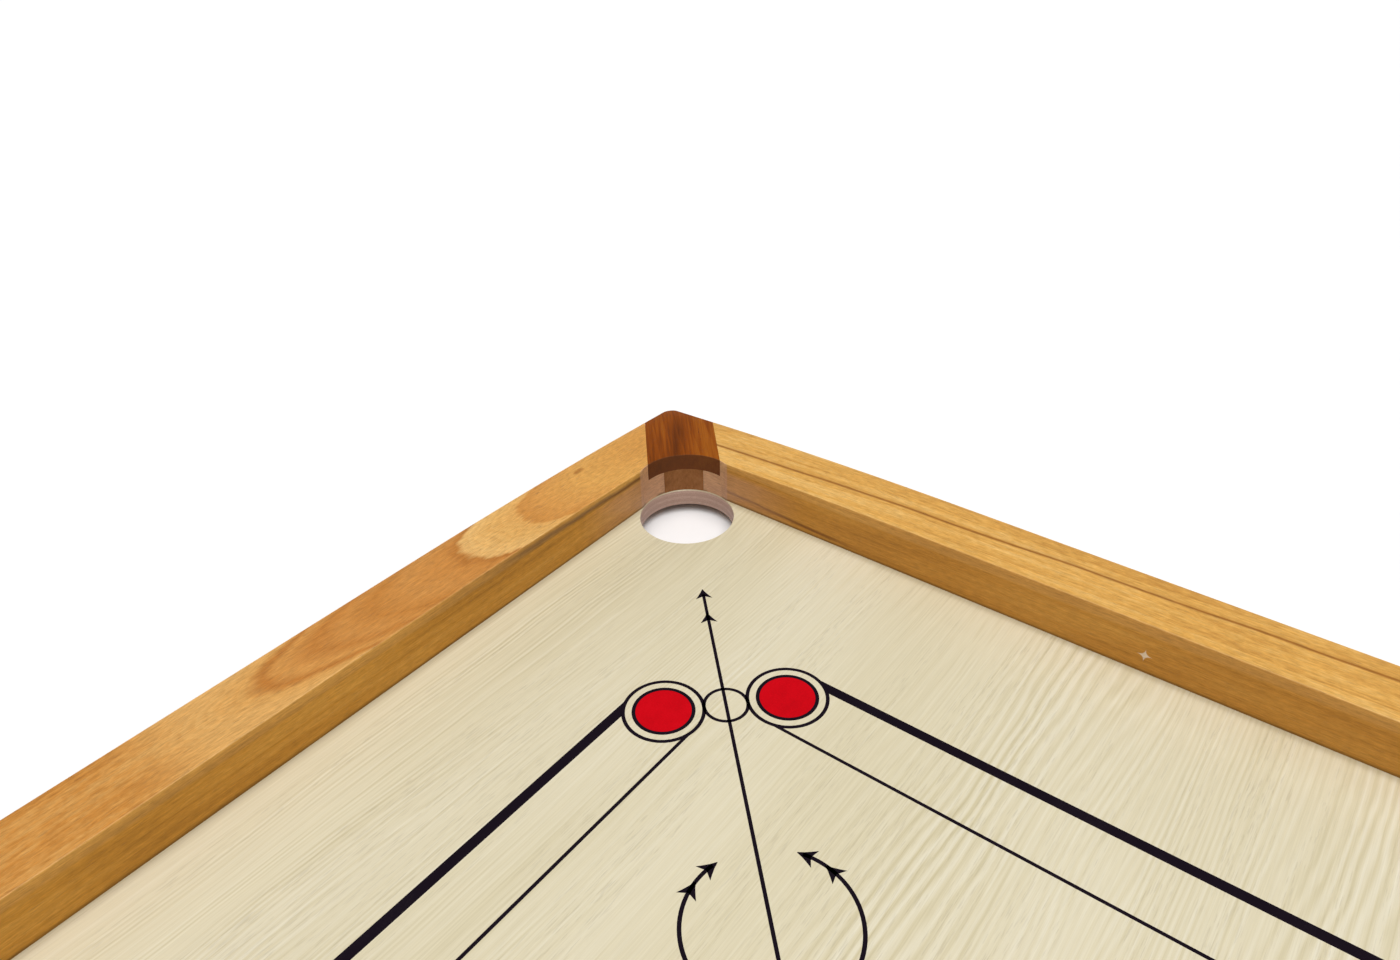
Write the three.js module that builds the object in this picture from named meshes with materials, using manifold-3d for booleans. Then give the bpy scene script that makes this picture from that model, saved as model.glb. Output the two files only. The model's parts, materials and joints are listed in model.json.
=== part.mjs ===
// Carrom board: a veneered plywood sheet with four corner pockets, let into a frame of four hardwood
// rails. The rails meet a diagonal key at each corner, and a dark hardwood inlay covers each key.
// Key and inlay fill the corner of the field as far as the pocket, which is bored through them.
// Units are millimetres. +Z is up, and the origin is the middle of the face that the frame stands on.

import * as THREE from 'three';
import { mergeVertices } from 'three/addons/utils/BufferGeometryUtils.js';
import Module from 'manifold-3d';

// ---- Frame ----
const INCH = 25.4;
const BOARD_SIDE = 30 * INCH; // over the outside of the rails
const RAIL_WIDTH = 1.25 * INCH;
const RAIL_HEIGHT = 1.5 * INCH;
const RAIL_RISE = 23.8; // from the playing surface to the top of the rails
const END_FALL = 4.9; // how much lower the rail tops are planed at their outer ends
const FALL_LENGTH = 175; // how far from its outer end a rail's top begins to fall
const FALL_STEPS = 8;
const CORNER_RADIUS = 6; // the frame's rounded outer corners

// ---- Corner key and inlay: both lie along a line through the pocket, close to the diagonal ----
const KEY_WIDTH = 20;
const INLAY_WIDTH = 36;
const INLAY_BED_RISE = 12.5; // from the playing surface to the bottom of the inlay
const CORNER_SKEW = 2.9; // degrees between that line and the true diagonal
const CORNER_FILL = 16; // how far inside the rails' inner faces the filled corner can reach
const GLUE_GAP = 0.2; // between faces that are glued together

// ---- Playing board ----
const PLY_THICKNESS = 9;
const REBATE_WIDTH = 12; // how far the sheet runs under the rails
const PLY_EDGE_GAP = 0.5; // between the sheet's edge and the wall of the rebate
const POCKET_RADIUS = 23.3;
const POCKET_INSET = 22.1; // from the inner faces of both rails to the pocket's centre
const POCKET_SEGMENTS = 48;

// ---- Battens under the sheet ----
const BATTEN_WIDTH = 40;
const BATTEN_THICKNESS = 5;
const BATTEN_END_GAP = 1;

// ---- Countersunk wood screws ----
const SCREW_HEAD_RADIUS = 3.5;
const SCREW_HEAD_DEPTH = 2.2;
const SCREW_SHANK_RADIUS = 1.75;
const SCREW_TIP_LENGTH = 3;
const SCREW_CLEARANCE = 0.1;
const SCREW_SEGMENTS = 10;
const RAIL_SCREW_LENGTH = 0.75 * INCH;
const BATTEN_SCREW_LENGTH = 0.5 * INCH;
const RAIL_SCREW_OFFSETS = [-270, -90, 90, 270]; // along each rail, from its middle
const LONG_BATTEN_SCREWS = [-330, -165, 0, 165, 330];
const SHORT_BATTEN_SCREWS = [60, 195, 330];

// ---- Places that follow from the sizes above ----
const HALF_SIDE = BOARD_SIDE / 2;
const FIELD_HALF = HALF_SIDE - RAIL_WIDTH; // the rails' inner faces
const SURFACE_Z = RAIL_HEIGHT - RAIL_RISE;
const PLY_BOTTOM_Z = SURFACE_Z - PLY_THICKNESS;
const BATTEN_BOTTOM_Z = PLY_BOTTOM_Z - BATTEN_THICKNESS;
const INLAY_BED_Z = SURFACE_Z + INLAY_BED_RISE;
const REBATE_HALF = FIELD_HALF + REBATE_WIDTH;
const PLY_HALF = REBATE_HALF - PLY_EDGE_GAP;
const POCKET_CENTRE = FIELD_HALF - POCKET_INSET;
const SCREW_LINE = FIELD_HALF + REBATE_WIDTH / 2; // the rail screws' distance from the middle
const CORNER_ANGLE = THREE.MathUtils.degToRad(45 - CORNER_SKEW);
const QUARTER_TURN = Math.PI / 2;
const REACH = 120; // longer than anything that a corner cut has to pass through
const OVERSHOOT = 2; // how far a cutting shape stands out of what it cuts

const SIDES = ['east', 'north', 'west', 'south'];
const CORNERS = ['north_east', 'north_west', 'south_west', 'south_east'];

const MATERIALS = {
  rail: new THREE.MeshStandardMaterial({ color: 0xd09a55, roughness: 0.38, metalness: 0 }),
  inlay: new THREE.MeshStandardMaterial({ color: 0x793f12, roughness: 0.3, metalness: 0 }),
  key: new THREE.MeshStandardMaterial({ color: 0x8a5a38, roughness: 0.45, metalness: 0 }),
  ply: new THREE.MeshStandardMaterial({ color: 0xded3b4, roughness: 0.35, metalness: 0 }),
  batten: new THREE.MeshStandardMaterial({ color: 0xc49a66, roughness: 0.6, metalness: 0 }),
  screw: new THREE.MeshStandardMaterial({ color: 0xb9a267, roughness: 0.35, metalness: 0.9 }),
};

const wasm = await Module();
wasm.setup();

// ---- Turning geometry into closed solids and back ----

// Shares the vertices of a closed geometry and drops the triangles that shrink to a line or a point.
function welded(geometry) {
  const bare = geometry.clone();
  bare.deleteAttribute('normal');
  bare.deleteAttribute('uv');
  const merged = mergeVertices(bare);
  const corners = merged.getIndex().array;
  const kept = [];
  for (let i = 0; i < corners.length; i += 3) {
    const [a, b, c] = corners.slice(i, i + 3);
    if (a !== b && b !== c && c !== a) {
      kept.push(a, b, c);
    }
  }
  merged.setIndex(kept);
  return merged;
}

function toSolid(geometry) {
  const closed = welded(geometry);
  const mesh = new wasm.Mesh({
    numProp: 3,
    vertProperties: new Float32Array(closed.getAttribute('position').array),
    triVerts: new Uint32Array(closed.getIndex().array),
  });
  return new wasm.Manifold(mesh);
}

function toGeometry(solid) {
  const mesh = solid.getMesh();
  const geometry = new THREE.BufferGeometry();
  geometry.setAttribute('position', new THREE.BufferAttribute(mesh.vertProperties, 3));
  geometry.setIndex(new THREE.BufferAttribute(mesh.triVerts, 1));
  geometry.computeVertexNormals();
  return geometry;
}

function cut(solid, cutters) {
  return cutters.reduce((left, cutter) => left.subtract(toSolid(cutter)), solid);
}

function named(name, geometry, material) {
  const mesh = new THREE.Mesh(geometry, material);
  mesh.name = name;
  return mesh;
}

// ---- Shapes used more than once ----

// A box between two corners, each given as [x, y, z].
function boxBetween(low, high) {
  const size = high.map((value, axis) => value - low[axis]);
  const geometry = new THREE.BoxGeometry(...size);
  geometry.translate(...high.map((value, axis) => (value + low[axis]) / 2));
  return geometry;
}

// A block that lies along the corner line, from `from` to `to` beside it (positive is anticlockwise).
// It begins behind the pocket and runs out past the corner. turn is the corner's quarter turn.
function alongCorner(from, to, bottom, top, turn = 0) {
  const geometry = boxBetween([-REACH / 2, from, bottom], [REACH, to, top]);
  geometry.rotateZ(CORNER_ANGLE);
  geometry.translate(POCKET_CENTRE, POCKET_CENTRE, 0);
  geometry.rotateZ(turn * QUARTER_TURN);
  return geometry;
}

function pocketCutter(turn) {
  const height = RAIL_HEIGHT + 2 * OVERSHOOT;
  const geometry = new THREE.CylinderGeometry(POCKET_RADIUS, POCKET_RADIUS, height, POCKET_SEGMENTS);
  geometry.rotateX(QUARTER_TURN);
  geometry.translate(POCKET_CENTRE, POCKET_CENTRE, RAIL_HEIGHT / 2);
  geometry.rotateZ(turn * QUARTER_TURN);
  return geometry;
}

function railTopAt(fromEnd) {
  const left = Math.max(0, 1 - fromEnd / FALL_LENGTH);
  return RAIL_HEIGHT - END_FALL * left * left;
}

// The east rail's bar before its joints are cut: a side view, drawn along Y and up Z, pushed out along X.
// extra makes it that much wider, inwards.
function railBar(extra = 0) {
  const outline = new THREE.Shape();
  outline.moveTo(-HALF_SIDE, 0);
  outline.lineTo(HALF_SIDE, 0);
  for (let step = 0; step <= FALL_STEPS; step += 1) {
    const fromEnd = (FALL_LENGTH * step) / FALL_STEPS;
    outline.lineTo(HALF_SIDE - fromEnd, railTopAt(fromEnd));
  }
  for (let step = FALL_STEPS; step >= 0; step -= 1) {
    const fromEnd = (FALL_LENGTH * step) / FALL_STEPS;
    outline.lineTo(fromEnd - HALF_SIDE, railTopAt(fromEnd));
  }
  const depth = RAIL_WIDTH + extra;
  const geometry = new THREE.ExtrudeGeometry(outline, { depth, bevelEnabled: false });
  const alongY = new THREE.Vector3(0, 1, 0);
  const upZ = new THREE.Vector3(0, 0, 1);
  const outX = new THREE.Vector3(1, 0, 0);
  geometry.applyMatrix4(new THREE.Matrix4().makeBasis(alongY, upZ, outX));
  geometry.translate(FIELD_HALF - extra, 0, 0);
  return geometry;
}

// The east and north bars as if they crossed at the corner.
function crossedBars(extra = 0) {
  const bar = railBar(extra);
  const crossing = bar.clone();
  crossing.rotateZ(QUARTER_TURN);
  return toSolid(bar).add(toSolid(crossing));
}

// The step under the rails that the sheet fits into.
function rebateCutter() {
  return boxBetween([-REBATE_HALF, -REBATE_HALF, -OVERSHOOT], [REBATE_HALF, REBATE_HALF, SURFACE_Z]);
}

function roundedBlock() {
  const half = HALF_SIDE;
  const inner = HALF_SIDE - CORNER_RADIUS;
  const outline = new THREE.Shape();
  outline.moveTo(inner, -half);
  outline.absarc(inner, -inner, CORNER_RADIUS, -QUARTER_TURN, 0);
  outline.absarc(inner, inner, CORNER_RADIUS, 0, QUARTER_TURN);
  outline.absarc(-inner, inner, CORNER_RADIUS, QUARTER_TURN, Math.PI);
  outline.absarc(-inner, -inner, CORNER_RADIUS, Math.PI, 3 * QUARTER_TURN);
  return new THREE.ExtrudeGeometry(outline, {
    depth: RAIL_HEIGHT,
    bevelEnabled: false,
    curveSegments: 6,
  });
}

// A screw standing on its head. grow makes the hole for it instead, open at the head.
function screwShape(length, grow = 0) {
  const head = SCREW_HEAD_RADIUS + grow;
  const shank = SCREW_SHANK_RADIUS + grow;
  const mouth = grow > 0 ? -OVERSHOOT : 0;
  const profile = [new THREE.Vector2(0, mouth), new THREE.Vector2(head, mouth)];
  if (grow > 0) {
    profile.push(new THREE.Vector2(head, 0));
  }
  profile.push(
    new THREE.Vector2(shank, SCREW_HEAD_DEPTH),
    new THREE.Vector2(shank, length + grow - SCREW_TIP_LENGTH),
    new THREE.Vector2(0, length + grow),
  );
  const geometry = new THREE.LatheGeometry(profile, SCREW_SEGMENTS);
  geometry.rotateX(QUARTER_TURN);
  return geometry;
}

// ---- Pieces ----

const railScrewPlaces = RAIL_SCREW_OFFSETS.map((y) => [SCREW_LINE, y, PLY_BOTTOM_Z]);
const battenScrewPlaces = [
  ...LONG_BATTEN_SCREWS.map((x) => [x, 0, BATTEN_BOTTOM_Z]),
  ...SHORT_BATTEN_SCREWS.map((y) => [0, y, BATTEN_BOTTOM_Z]),
  ...SHORT_BATTEN_SCREWS.map((y) => [0, -y, BATTEN_BOTTOM_Z]),
];

function screwHole(length, place, turn = 0) {
  const geometry = screwShape(length, SCREW_CLEARANCE);
  geometry.translate(...place);
  geometry.rotateZ(turn * QUARTER_TURN);
  return geometry;
}

// One rail: its ends stop at the keys below the inlays, and further back beside them.
function railSolid() {
  const keySide = KEY_WIDTH / 2 + GLUE_GAP;
  const inlaySide = INLAY_WIDTH / 2 + GLUE_GAP;
  const top = RAIL_HEIGHT + OVERSHOOT;
  return cut(toSolid(railBar()), [
    rebateCutter(),
    alongCorner(-keySide, REACH, -OVERSHOOT, top),
    alongCorner(-inlaySide, REACH, INLAY_BED_Z, top),
    alongCorner(-REACH, keySide, -OVERSHOOT, top, -1),
    alongCorner(-REACH, inlaySide, INLAY_BED_Z, top, -1),
    pocketCutter(0),
    pocketCutter(-1),
    ...railScrewPlaces.map((place) => screwHole(RAIL_SCREW_LENGTH, place)),
  ]);
}

// The whole filled corner of the frame, for the key and inlay to be cut from.
function cornerSolid() {
  const inner = FIELD_HALF - CORNER_FILL;
  const fillArea = boxBetween([inner, inner, 0], [HALF_SIDE, HALF_SIDE, RAIL_HEIGHT]);
  const fill = crossedBars(CORNER_FILL).intersect(toSolid(fillArea));
  const filled = crossedBars().add(fill).intersect(toSolid(roundedBlock()));
  return cut(filled, [rebateCutter(), pocketCutter(0)]);
}

function keySolid(corner) {
  const half = KEY_WIDTH / 2;
  return corner.intersect(toSolid(alongCorner(-half, half, 0, INLAY_BED_Z - GLUE_GAP)));
}

function inlaySolid(corner) {
  const half = INLAY_WIDTH / 2;
  return corner.intersect(toSolid(alongCorner(-half, half, INLAY_BED_Z, RAIL_HEIGHT + OVERSHOOT)));
}

function playingBoardSolid() {
  const sheet = boxBetween([-PLY_HALF, -PLY_HALF, PLY_BOTTOM_Z], [PLY_HALF, PLY_HALF, SURFACE_Z]);
  const cutters = battenScrewPlaces.map((place) => screwHole(BATTEN_SCREW_LENGTH, place));
  SIDES.forEach((side, turn) => {
    cutters.push(pocketCutter(turn));
    cutters.push(...railScrewPlaces.map((place) => screwHole(RAIL_SCREW_LENGTH, place, turn)));
  });
  return cut(toSolid(sheet), cutters);
}

function battenSolid(low, high) {
  const bar = boxBetween([...low, BATTEN_BOTTOM_Z], [...high, PLY_BOTTOM_Z]);
  const holes = battenScrewPlaces
    .filter(([x, y]) => x > low[0] && x < high[0] && y > low[1] && y < high[1])
    .map((place) => screwHole(BATTEN_SCREW_LENGTH, place));
  return cut(toSolid(bar), holes);
}

function addScrews(group, places, length, names) {
  places.forEach((place, i) => {
    const screw = named(names(i), welded(screwShape(length)), MATERIALS.screw);
    screw.geometry.computeVertexNormals();
    screw.position.set(...place);
    group.add(screw);
  });
}

// ---- Assembly ----

const board = new THREE.Group();

board.add(named('playing_board', toGeometry(playingBoardSolid()), MATERIALS.ply));

const railGeometry = toGeometry(railSolid());
const corner = cornerSolid();
const keyGeometry = toGeometry(keySolid(corner));
const inlayGeometry = toGeometry(inlaySolid(corner));
SIDES.forEach((side, turn) => {
  const quarter = new THREE.Group();
  quarter.rotation.z = turn * QUARTER_TURN;
  quarter.add(named(`rail_${side}`, railGeometry, MATERIALS.rail));
  quarter.add(named(`corner_key_${CORNERS[turn]}`, keyGeometry, MATERIALS.key));
  quarter.add(named(`corner_inlay_${CORNERS[turn]}`, inlayGeometry, MATERIALS.inlay));
  addScrews(quarter, railScrewPlaces, RAIL_SCREW_LENGTH, (i) => `rail_screw_${side}_${i + 1}`);
  board.add(quarter);
});

const battenEnd = REBATE_HALF - BATTEN_END_GAP;
const battenHalf = BATTEN_WIDTH / 2;
const shortStart = battenHalf + PLY_EDGE_GAP;
const battens = {
  batten_long: [[-battenEnd, -battenHalf], [battenEnd, battenHalf]],
  batten_north: [[-battenHalf, shortStart], [battenHalf, battenEnd]],
  batten_south: [[-battenHalf, -battenEnd], [battenHalf, -shortStart]],
};
for (const [name, [low, high]] of Object.entries(battens)) {
  board.add(named(name, toGeometry(battenSolid(low, high)), MATERIALS.batten));
}
addScrews(board, battenScrewPlaces, BATTEN_SCREW_LENGTH, (i) => `batten_screw_${i + 1}`);

export default board;
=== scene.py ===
"""A carrom board: a lacquered hardwood frame round a pale veneered playing board with printed lines.

Everything is in metres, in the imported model's frame: +Z is up out of the playing surface, +X points at
the east rail, +Y at the north rail, and the board stands on Z = 0.
"""

import itertools
import json
import math

import bmesh
import bpy
from mathutils import Matrix, Vector


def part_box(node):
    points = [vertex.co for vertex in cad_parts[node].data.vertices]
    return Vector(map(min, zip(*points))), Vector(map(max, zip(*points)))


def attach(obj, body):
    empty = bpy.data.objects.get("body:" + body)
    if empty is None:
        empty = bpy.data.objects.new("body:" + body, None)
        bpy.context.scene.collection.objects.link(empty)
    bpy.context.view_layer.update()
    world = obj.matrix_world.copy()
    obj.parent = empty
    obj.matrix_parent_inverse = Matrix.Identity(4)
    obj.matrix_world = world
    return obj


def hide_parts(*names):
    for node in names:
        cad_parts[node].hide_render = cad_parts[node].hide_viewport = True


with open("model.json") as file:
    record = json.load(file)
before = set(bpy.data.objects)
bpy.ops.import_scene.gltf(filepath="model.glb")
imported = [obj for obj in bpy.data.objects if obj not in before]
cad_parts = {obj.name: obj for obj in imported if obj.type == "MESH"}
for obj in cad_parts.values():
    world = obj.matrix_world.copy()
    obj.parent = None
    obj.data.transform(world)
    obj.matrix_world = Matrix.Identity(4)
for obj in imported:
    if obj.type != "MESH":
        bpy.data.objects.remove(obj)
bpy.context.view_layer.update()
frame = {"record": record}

MM = 0.001
QUARTER = math.pi / 2
SIDES = ["east", "north", "west", "south"]
CORNERS = ["north_east", "north_west", "south_west", "south_east"]
RAIL_WIDTH = 31.75 * MM

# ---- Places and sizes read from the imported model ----
HALF_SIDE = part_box("rail_east")[1].x
RAIL_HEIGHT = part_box("rail_east")[1].z
BOARD_LOW, BOARD_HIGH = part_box("playing_board")
SURFACE_Z = BOARD_HIGH.z
PLY_BOTTOM_Z = BOARD_LOW.z
BOARD_HALF = BOARD_HIGH.x
FIELD_HALF = HALF_SIDE - RAIL_WIDTH
POCKET_BOX = next(
    opening["box_m"]
    for opening in frame["record"]["physics"]["openings"]
    if opening["name"] == "pocket_north_east"
)
POCKET_CENTRE = (POCKET_BOX[0][0] + POCKET_BOX[1][0]) / 2
INLAY_BED_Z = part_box("corner_inlay_north_east")[0].z

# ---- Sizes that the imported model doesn't state ----
POCKET_RADIUS = 23.3 * MM
END_FALL = 4.9 * MM  # how much lower the rail tops are at their ends
FALL_LENGTH = 175 * MM
CORNER_RADIUS = 6 * MM
CORNER_FILL = 16 * MM
KEY_WIDTH = 20 * MM
INLAY_WIDTH = 36 * MM
CORNER_ANGLE = math.radians(45 - 2.9)
REBATE_HALF = BOARD_HALF + 0.5 * MM
GLUE_LINE = 0.03 * MM
REACH = 120 * MM  # further than any corner cut has to go
FAR = 5 * REACH  # further than the middle of the board from any side
STRAIGHT_STATIONS = (0, 70 * MM, 140 * MM)  # along a rail, where its top is level
FALL_STEPS = 12
ARC_STEPS = 12
TOP_STEPS = 8
POCKET_SEGMENTS = 128

# ---- Rounded edges ----
TOP_ROUND = 0.6 * MM
BOTTOM_ROUND = 0.8 * MM
POCKET_ROUND = 0.6 * MM
ROUND_STEPS = 4
VALLEY_WIDTH = 8 * MM  # how softly the two falling rail tops meet at a corner

# ---- Screws, battens and film thickness ----
HEAD_RADIUS = 3.5 * MM
HEAD_DEPTH = 2.2 * MM
SHANK_RADIUS = 1.75 * MM
HOLE_CLEARANCE = 0.1 * MM
MOUTH_CLEARANCE = 0.15 * MM
CORE_RADIUS = 0.72 * SHANK_RADIUS
THREAD_PITCH = 1.3 * MM
THREAD_TAPER = 6 * MM  # how far from the point the thread begins to narrow
RECESS_REACH = 1.75 * MM
RECESS_FOOT = 0.7 * MM
RECESS_DEPTH = 1.5 * MM
RECESS_HALF_WIDTH = 0.36 * MM
SCREW_TURN = 2.39996  # radians from one screw's recess to the next one's
RAIL_SCREWS = [f"rail_screw_{side}_{i}" for side in SIDES for i in range(1, 5)]
BATTEN_SCREWS = [f"batten_screw_{i}" for i in range(1, 12)]
BATTENS = ["batten_long", "batten_north", "batten_south"]
BOARD_RIM_ROUND = 0.15 * MM
BATTEN_ROUND = 0.8 * MM
INK_THICKNESS = 0.03 * MM
FILM_SINK = 0.02 * MM

# ---- The print, measured from the rails' inner faces or from the field's corner ----
THICK_NEAR = 81.05 * MM
THICK_FAR = 85.35 * MM
THIN_MIDDLE = 112.06 * MM
THIN_WIDTH = 1.4 * MM
LINE_WIDTH = 1.5 * MM
LINE_LAP = 0.1 * MM
BASE_CIRCLE_OFF = 96.67 * MM  # from the rail beside it
BASE_CIRCLE_IN = 131.53 * MM  # from the rail at its end
BASE_RING = 15.9 * MM
BASE_DISC = 11.05 * MM
ARROW_TIP = 89.7 * MM
ARROW_SECOND = 106 * MM
ARROW_END = 288 * MM
SMALL_CIRCLE_AT = 161.9 * MM
SMALL_CIRCLE = 8.68 * MM
ARC_AT = 258.8 * MM
ARC_RADIUS = 29.27 * MM
ARC_TIPS = [27.7, 48]  # degrees from the corner's direction
HEAD_LENGTH = 6.5 * MM
HEAD_HALF_WIDTH = 3.7 * MM
HEAD_NOTCH = 4.9 * MM
HEAD_TIP_HALF_WIDTH = 0.12 * MM
LINE_IN_HEAD = 3.6 * MM  # how far behind the arrow's tip its line begins
CIRCLE_STEPS = 72
ARC_STEP = math.radians(4)
CENTRE_RING = 85 * MM
SECOND_RING = CENTRE_RING - 3.2 * MM
PETAL_TIP = CENTRE_RING - 3.4 * MM
PETALS = 8
PETAL_SWING = math.radians(52)  # half the angle that each side of a petal turns through

# ---- Tones, as linear colours from dark to light ----
HEARTWOOD = [(0.32, 0.11, 0.014), (0.53, 0.225, 0.042), (0.66, 0.35, 0.1)]
SAPWOOD = [(0.48, 0.215, 0.038), (0.67, 0.355, 0.08), (0.78, 0.48, 0.155)]
GOLDEN_FACE = [(0.27, 0.11, 0.01), (0.49, 0.222, 0.028), (0.62, 0.32, 0.06)]
AMBER_FACE = [(0.28, 0.11, 0.012), (0.475, 0.212, 0.033), (0.59, 0.3, 0.06)]
INLAY_TONES = [(0.06, 0.012, 0.0006), (0.235, 0.052, 0.0012), (0.39, 0.12, 0.008)]
KEY_TONES = [(0.16, 0.06, 0.018), (0.275, 0.112, 0.037), (0.36, 0.165, 0.065)]
BOARD_TONES = [(0.54, 0.465, 0.27), (0.7, 0.628, 0.44), (0.79, 0.735, 0.58)]
BATTEN_TONES = [(0.38, 0.2, 0.07), (0.6, 0.4, 0.19), (0.7, 0.51, 0.28)]
# bare wood of the pocket walls, mixed with a painted reflection of the pale pocket
BARE_WOOD_AND_REFLECTION = (0.5, 0.275, 0.165)
# painted highlight along the rails' inner top edges
EDGE_HIGHLIGHT = (0.8, 0.56, 0.26)
# painted shade at the foot of the rails' inner faces
RAIL_FOOT_SHADE = (0.09, 0.045, 0.01)
CHIP = (0.72, 0.6, 0.47)
GROWTH_LINE = (0.27, 0.092, 0.009)
# painted shade on the inlays' pocket walls
INLAY_BORE_SHADE = (0.12, 0.045, 0.018)
BOARD_DASH = (0.36, 0.31, 0.215)
# painted shade along the board's edge, next to the rails
BOARD_EDGE_SHADE = (0.33, 0.25, 0.12)
PLY_END_GRAIN = [(0.3, (0.36, 0.225, 0.17)), (0.7, (0.47, 0.315, 0.25))]
PLY_LONG_GRAIN = [(0.3, (0.4, 0.255, 0.195)), (0.7, (0.53, 0.365, 0.29))]
PLY_SEAM = (0.14, 0.075, 0.045)
PLY_PITCH = 1.66  # mm from one ply to the next
STEEL_TONES = [(0.3, (0.34, 0.32, 0.28)), (0.6, (0.6, 0.59, 0.56)), (0.8, (0.7, 0.69, 0.67))]
INK, WORN_INK = (0.008, 0.004, 0.009), (0.016, 0.011, 0.016)
RED, WORN_RED = (0.58, 0.0005, 0.006), (0.62, 0.002, 0.01)

# ---- The rails' woods, in millimetres ----
KNOT_AT = (301, 24.6)  # towards the corner from the north rail's middle, and out from its face
CHIP_AT = (111.5, 22.8)  # along the east rail from its middle, and up
FLAME_LAYERS = [  # from the board's middle, measured along the tongues' line
    (95, (0.7, 0.4, 0.13)),
    (112, (0.66, 0.35, 0.1)),
    (121, (0.42, 0.145, 0.022)),
    (130, (0.6, 0.28, 0.07)),
    (146, (0.46, 0.17, 0.03)),
    (158, (0.56, 0.24, 0.055)),
    (172, (0.47, 0.18, 0.032)),
    (190, (0.57, 0.25, 0.06)),
    (213, (0.54, 0.22, 0.046)),
    (219, (0.4, 0.14, 0.022)),
    (223, (0.8, 0.5, 0.18)),
    (243, (0.74, 0.43, 0.13)),
    (254, (0.74, 0.41, 0.12)),
    (257, (0.56, 0.24, 0.05)),
    (272, (0.64, 0.3, 0.07)),
    (300, (0.7, 0.37, 0.09)),
    (340, (0.66, 0.32, 0.07)),
]
FLAME_SPAN = 400
RAIL_WOODS = {  # tones of the top and of the inner face, (ring middle, gap, lean), face streaks
    "east": (SAPWOOD, AMBER_FACE, ((60, -90), 3.4, 0.01), 0.4),
    "north": (HEARTWOOD, GOLDEN_FACE, ((12, -46), 4.6, 0.03), 0.95),
    "west": (SAPWOOD, GOLDEN_FACE, ((-70, -60), 3.0, -0.02), 0.6),
    "south": (HEARTWOOD, AMBER_FACE, ((30, -50), 4.0, -0.025), 0.5),
}
LONG_STREAKS = {  # start, height, rise, width and tone, as face_streak takes them
    "east": (235, 16.0, 0.047, 1.5, (0.16, 0.055, 0.01)),
    "north": (-215, 36.0, -0.034, 2.4, (0.12, 0.042, 0.006)),
}

# ---- Floor, light and camera ----
FLOOR_COLOUR = (0.93, 0.93, 0.93)
FLOOR_HALF = 6
SKY_LAYERS = [(0, 0.95), (0.1, 0.85), (0.32, 0.28), (0.55, 0.24), (0.95, 0.6)]  # sine of height, level
SUN_STRENGTH = 2.3
SUN_ANGLE = 55
SUN_FROM = (-0.24, -0.24, 1)
SENSOR_WIDTH = 36
IMAGE_WIDTH = 1400
FOCAL_PIXELS = 1035.9
CAMERA_AT = (0.00088, 0.0596, 0.31194)
CAMERA_FORWARD = (0.65514, 0.51958, -0.54847)
CAMERA_UP = (0.44472, 0.32165, 0.83592)


# ---- Mesh helpers ----


def new_object(name, mesh):
    """A new object that shows this mesh in the scene."""
    obj = bpy.data.objects.new(name, mesh)
    bpy.context.scene.collection.objects.link(obj)
    return obj


def object_from(bm, name):
    """A new object from an edit mesh, which is freed."""
    mesh = bpy.data.meshes.new(name)
    bm.to_mesh(mesh)
    bm.free()
    return new_object(name, mesh)


def mesh_object(name, vertices, faces):
    """A new object from vertices and faces, with its normals facing out."""
    mesh = bpy.data.meshes.new(name)
    mesh.from_pydata([tuple(v) for v in vertices], [], faces)
    return clean(new_object(name, mesh))


def clean(obj, weld=0.002 * MM):
    """Welds doubled vertices, drops flat faces and turns every face outwards."""
    bm = bmesh.new()
    bm.from_mesh(obj.data)
    bmesh.ops.remove_doubles(bm, verts=bm.verts, dist=weld)
    bmesh.ops.dissolve_degenerate(bm, edges=bm.edges, dist=weld)
    bmesh.ops.recalc_face_normals(bm, faces=bm.faces)
    bm.to_mesh(obj.data)
    bm.free()
    return obj


def box_object(name, low, high):
    """A box between two corners."""
    vertices = list(itertools.product(*zip(low, high)))
    faces = [(0, 1, 3, 2), (4, 6, 7, 5), (0, 4, 5, 1), (2, 3, 7, 6), (0, 2, 6, 4), (1, 5, 7, 3)]
    return mesh_object(name, vertices, faces)


def lofted(name, loops, strips):
    """Joins each loop of points to the next, and the last to the first, with this many strips."""
    n = len(loops[0])
    faces = []
    for i in range(len(loops)):
        here, there = i * n, (i + 1) % len(loops) * n
        for k in range(strips):
            m = (k + 1) % n
            faces.append((here + k, there + k, there + m, here + m))
    return mesh_object(name, itertools.chain(*loops), faces)


def lathe_object(name, profile, segments):
    """Turns a profile of (radius, height) pairs, which starts and ends on the axis, about Z."""
    angles = [2 * math.pi * i / segments for i in range(segments)]
    loops = [[(r * math.cos(a), r * math.sin(a), z) for r, z in profile] for a in angles]
    return lofted(name, loops, len(profile) - 1)


def cut(obj, cutter, operation="DIFFERENCE"):
    """Cuts obj with the cutter, by one exact boolean, and removes the cutter."""
    modifier = obj.modifiers.new("cut", "BOOLEAN")
    modifier.operation = operation
    modifier.solver = "EXACT"
    modifier.object = cutter
    evaluated = obj.evaluated_get(bpy.context.evaluated_depsgraph_get())
    result = bpy.data.meshes.new_from_object(evaluated)
    obj.modifiers.clear()
    obj.data = result
    bpy.data.objects.remove(cutter)
    return clean(obj)


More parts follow.
